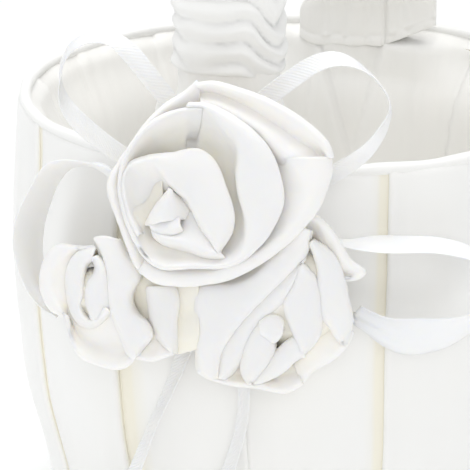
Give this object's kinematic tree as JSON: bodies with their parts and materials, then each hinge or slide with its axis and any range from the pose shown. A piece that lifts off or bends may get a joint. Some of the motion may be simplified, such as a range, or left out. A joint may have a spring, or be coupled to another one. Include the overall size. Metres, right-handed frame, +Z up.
{
  "type": "flower girl basket",
  "caption": "Round satin flower girl basket with a pleated outside, a ruched hoop handle, satin roses and ribbon bows at the handle's foot.",
  "frame": {"origin": "centre of the underside of the base, on the surface that the basket stands on", "axes": "+Z up; the hoop handle stands in the YZ plane; the roses and bows are at its front end, on the -Y side; +X is to the right seen from the front"},
  "size_m": [0.1694, 0.1936, 0.2676],
  "materials": {
    "outer_satin": "ivory white satin, pleated, soft sheen",
    "lining_satin": "ivory white satin, loosely pleated",
    "handle_satin": "white satin, ruched",
    "rose_satin": "ivory white satin, folded petals",
    "thin_ribbon": "narrow satin ribbon with a fine diagonal weave and woven edges",
    "wide_ribbon": "wide satin ribbon with woven edges",
    "felt": "white felt",
    "base_cloth": "white cloth glued flat under the base",
    "board": "grey card board",
    "wadding": "white polyester wadding",
    "hoop_plastic": "white flat plastic strip",
    "rivet_metal": "nickel plated"
  },
  "bodies": {
    "root": {"base_board": "board", "base_cloth": "base_cloth", "flower_backing": "felt", "handle_cuff_back": "handle_satin", "handle_cuff_front": "handle_satin", "handle_hoop": "hoop_plastic", "handle_rivet_back_lower": "rivet_metal", "handle_rivet_back_upper": "rivet_metal", "handle_rivet_front_lower": "rivet_metal", "handle_rivet_front_upper": "rivet_metal", "handle_sleeve": "handle_satin", "handle_wadding": "wadding", "lining_floor_pad": "lining_satin", "lining_wall": "lining_satin", "pleated_skirt": "outer_satin", "rim_piping": "outer_satin", "rose_large_base": "felt", "rose_large_bud": "rose_satin", "rose_large_petal_1": "rose_satin", "rose_large_petal_2": "rose_satin", "rose_large_petal_3": "rose_satin", "rose_large_petal_4": "rose_satin", "rose_large_petal_5": "rose_satin", "rose_large_petal_6": "rose_satin", "rose_large_petal_7": "rose_satin", "rose_large_petal_8": "rose_satin", "rose_left_base": "felt", "rose_left_bud": "rose_satin", "rose_left_petal_1": "rose_satin", "rose_left_petal_2": "rose_satin", "rose_left_petal_3": "rose_satin", "rose_left_petal_4": "rose_satin", "rose_left_petal_5": "rose_satin", "rose_right_base": "felt", "rose_right_bud": "rose_satin", "rose_right_petal_1": "rose_satin", "rose_right_petal_2": "rose_satin", "rose_right_petal_3": "rose_satin", "rose_right_petal_4": "rose_satin", "rose_right_petal_5": "rose_satin", "rose_right_petal_6": "rose_satin", "rose_right_petal_7": "rose_satin", "rose_right_petal_8": "rose_satin", "thin_bow_loop_left": "thin_ribbon", "thin_bow_loop_right": "thin_ribbon", "thin_bow_tail_left": "thin_ribbon", "thin_bow_tail_right": "thin_ribbon", "wall_board": "board", "wide_bow_loop_left": "wide_ribbon", "wide_bow_loop_right": "wide_ribbon"}
  },
  "joints": []
}
